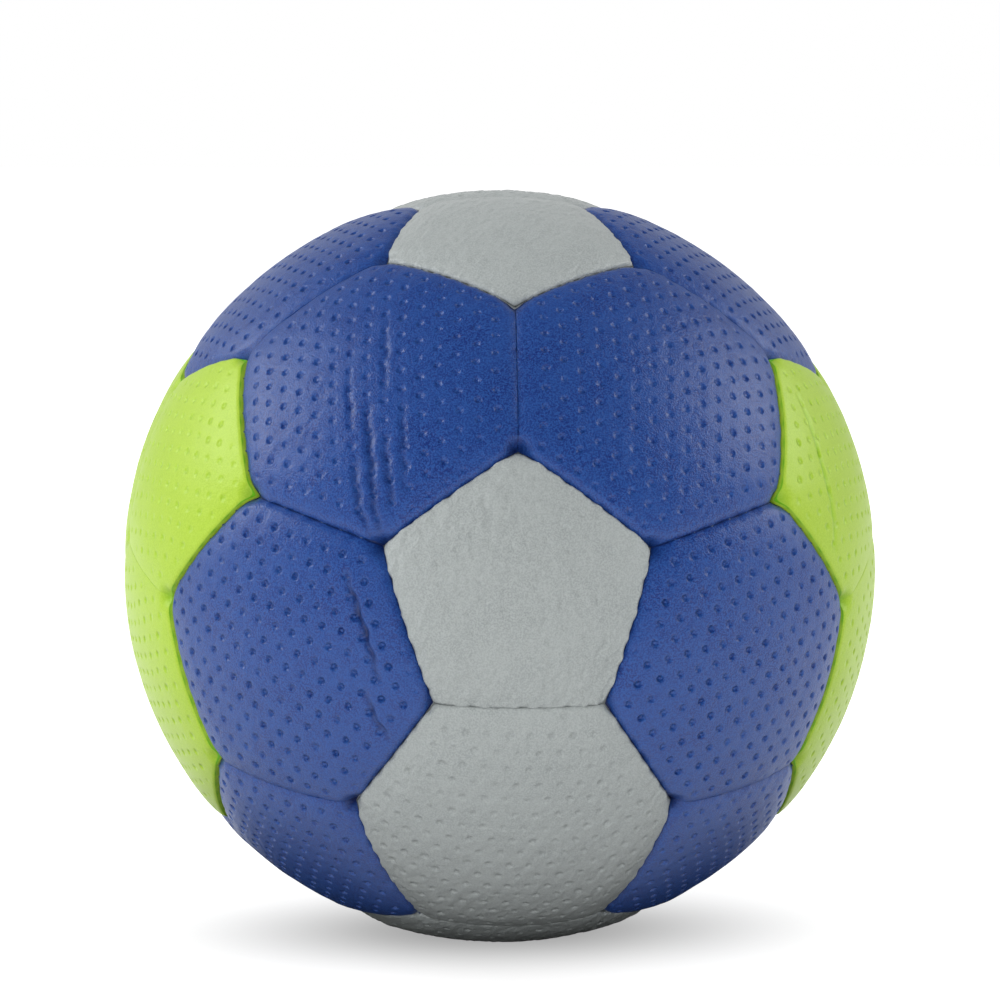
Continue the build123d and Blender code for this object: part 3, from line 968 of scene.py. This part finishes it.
def make_stitches(thread):
    """Thread across the seams, six stitches to a seam."""
    reach = (BALL_RADIUS - STITCH_DEPTH) * MM
    ends = PANEL_SIZES["Stitch Pitch"] * (STITCH_COUNT - 1) / 2 / BALL_RADIUS
    turns = np.linspace(-ends, ends, SEAM_POINTS)
    points, edges = [], []
    for first, second in combinations(CORNERS.values(), 2):
        if first @ second > NEXT_CORNER:
            middle = unit(first + second)
            along = unit(second - first)
            edges += [(len(points) + k, len(points) + k + 1) for k in range(SEAM_POINTS - 1)]
            points += [tuple(reach * (middle * cos(turn) + along * sin(turn))) for turn in turns]
    mesh = bpy.data.meshes.new("seam_stitches")
    mesh.from_pydata(points, edges, [])
    return shaped(mesh, stitch_tree(), thread, **STITCH_SIZES)


def cut_valve_hole(panel):
    """Opens the valve's panel around the stem, as the CAD panel is open there."""
    axis = AXES[VALVE_PANEL]
    stem = points_of("valve_body")
    height = stem @ axis
    off_axis = np.linalg.norm(stem - np.outer(height, axis), axis=1)
    radius = off_axis[height > BALL_RADIUS - SKIN].max() + VALVE_CLEARANCE
    bpy.ops.mesh.primitive_cylinder_add(
        vertices=DRILL_SIDES,
        radius=radius * MM,
        depth=2 * FLANGE_DEPTH * MM,
    )
    drill = bpy.context.object
    outward = Vector(axis)
    upright = outward.to_track_quat("Z", "Y").to_matrix().to_4x4()
    drill.data.transform(Matrix.Translation(outward * BALL_RADIUS * MM) @ upright)
    cut = panel.modifiers.new("valve hole", "BOOLEAN")
    cut.object = drill
    cut.operation = "DIFFERENCE"
    settle(panel)
    bpy.data.objects.remove(drill)


# Stage

def eye_rays(put, mirrored):
    """One for rays from the camera, and the given share for those in a reflection or through glass."""
    ray = put("ShaderNodeLightPath").outputs
    bent = {0: ray["Is Glossy Ray"], 1: ray["Is Transmission Ray"]}
    other = put("ShaderNodeMath", bent, operation="MAXIMUM")
    shown = put("ShaderNodeMath", {0: other, 1: mirrored}, operation="MULTIPLY")
    return put("ShaderNodeMath", {0: ray["Is Camera Ray"], 1: shown}, operation="MAXIMUM")


def add_floor(height):
    """A wide pale floor. What the camera sees of it is white, and it keeps the ball's shadow, which a painted
    shadow deepens: its glow and colour darken towards the spot under the ball.
    """
    bpy.ops.mesh.primitive_plane_add(size=FLOOR_SIZE, location=(0, 0, height))
    floor = bpy.context.object
    floor.name = "floor"
    made, put, place = material("white paper sweep")
    where = put("ShaderNodeVectorMath", {0: place, 1: FLOOR_STRETCH}, operation="MULTIPLY")
    away = put("ShaderNodeVectorMath", {0: where}, operation="LENGTH").outputs["Value"]
    # Painted shadow: for the camera, the glow and the paper's colour darken towards the spot under the ball
    strength = put("ShaderNodeMapRange", {"Value": away, **FLOOR_GLOW_WITH_PAINTED_SHADOW}, interpolation_type="SMOOTHSTEP")
    glow_with_painted_shadow = put("ShaderNodeEmission", {"Strength": strength})
    tone_with_painted_shadow = put("ShaderNodeMapRange", {"Value": away, **FLOOR_TONE_WITH_PAINTED_SHADOW})
    paper = put("ShaderNodeBsdfDiffuse", {"Color": tone_with_painted_shadow})
    seen = put("ShaderNodeAddShader", {0: paper, 1: glow_with_painted_shadow})
    # Painted shadow: the floor that lights the ball and shows in its reflections is darker near the spot
    # under it
    below = put("ShaderNodeVectorMath", {0: place}, operation="LENGTH").outputs["Value"]
    bounce_with_painted_shadow = put("ShaderNodeMapRange", {"Value": below, **FLOOR_BOUNCE_WITH_PAINTED_SHADOW})
    unseen = put("ShaderNodeBsdfDiffuse", {"Color": bounce_with_painted_shadow})
    mirrored = put("ShaderNodeMapRange", {"Value": away, **FLOOR_MIRRORED_PAST_PAINTED_SHADOW})
    sweep = put("ShaderNodeMixShader", {0: eye_rays(put, mirrored), 1: unseen, 2: seen})
    put("ShaderNodeOutputMaterial", {"Surface": sweep})
    floor.data.materials.append(made)


def add_world():
    """White to the eye, white behind the ball in reflections, and a softer fill for everything else."""
    world = bpy.data.worlds.new("studio")
    bpy.context.scene.world = world
    world.use_nodes = True
    world.node_tree.nodes.clear()
    put = partial(add, world.node_tree)
    way = put("ShaderNodeSeparateXYZ", {0: put("ShaderNodeTexCoord").outputs["Generated"]})
    glossy = put("ShaderNodeLightPath").outputs["Is Glossy Ray"]
    sky = put("ShaderNodeMapRange", {"Value": way.outputs["Z"], **SKY_STRENGTH})
    strength = put("ShaderNodeMapRange", {"Value": glossy, "To Min": sky, "To Max": SKY_MIRRORED})
    fill = put("ShaderNodeBackground", {"Color": linear(WHITE), "Strength": strength})
    white = put("ShaderNodeBackground", {"Color": linear(WHITE), "Strength": 1.0})
    behind = put("ShaderNodeMapRange", {"Value": way.outputs["Y"], **SKY_BEHIND})
    around = put("ShaderNodeMixShader", {0: eye_rays(put, behind), 1: fill, 2: white})
    put("ShaderNodeOutputWorld", {"Surface": around})


def add_softbox(name, place, size, power, mirrored):
    """A square area light that faces the ball."""
    data = bpy.data.lights.new(name, "AREA")
    data.shape = "SQUARE"
    data.size = size
    data.energy = power
    lamp = bpy.data.objects.new(name, data)
    lamp.location = place
    lamp.rotation_euler = (-Vector(place)).to_track_quat("-Z", "Y").to_euler()
    lamp.visible_glossy = mirrored
    bpy.context.collection.objects.link(lamp)


def main():
    """Makes the ball's visible pieces, finishes the CAD nodes that stay, and sets the stage."""
    covers = {name: polyurethane_suede(name, **look) for name, look in SUEDES.items()}
    thread = twisted_polyester()
    rubber = moulded_rubber("moulded butyl rubber", "#141414", "#2a2a2b", rough=0.55)
    plug = moulded_rubber("soft moulded rubber", "#232325", "#3b3b3e", rough=0.65)
    foam = closed_cell_foam()
    cloth = woven_lining()

    panels = make_panels(covers)
    cut_valve_hole(panels[VALVE_PANEL])
    for name, piece in panels.items():
        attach(piece, "root")
        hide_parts(name)
    stitches = make_stitches(thread)
    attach(stitches, "root")

    kept = {
        "hexagon_foam_pads": foam,
        "pentagon_foam_pads": foam,
        "hexagon_linings": cloth,
        "pentagon_linings": cloth,
        "valve_patch": cloth,
        "hexagon_seam_threads": thread,
        "pentagon_seam_threads": thread,
        "bladder": rubber,
        "valve_body": rubber,
        "valve_core": plug,
    }
    for node, finish in kept.items():
        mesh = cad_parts[node].data
        mesh.materials.clear()
        mesh.materials.append(finish)

    lowest_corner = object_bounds()[0]
    add_camera()
    add_floor(lowest_corner[2])
    add_world()
    for name, lamp in SOFTBOXES.items():
        add_softbox(name, **lamp)
    bpy.context.scene.view_settings.view_transform = "Standard"


main()
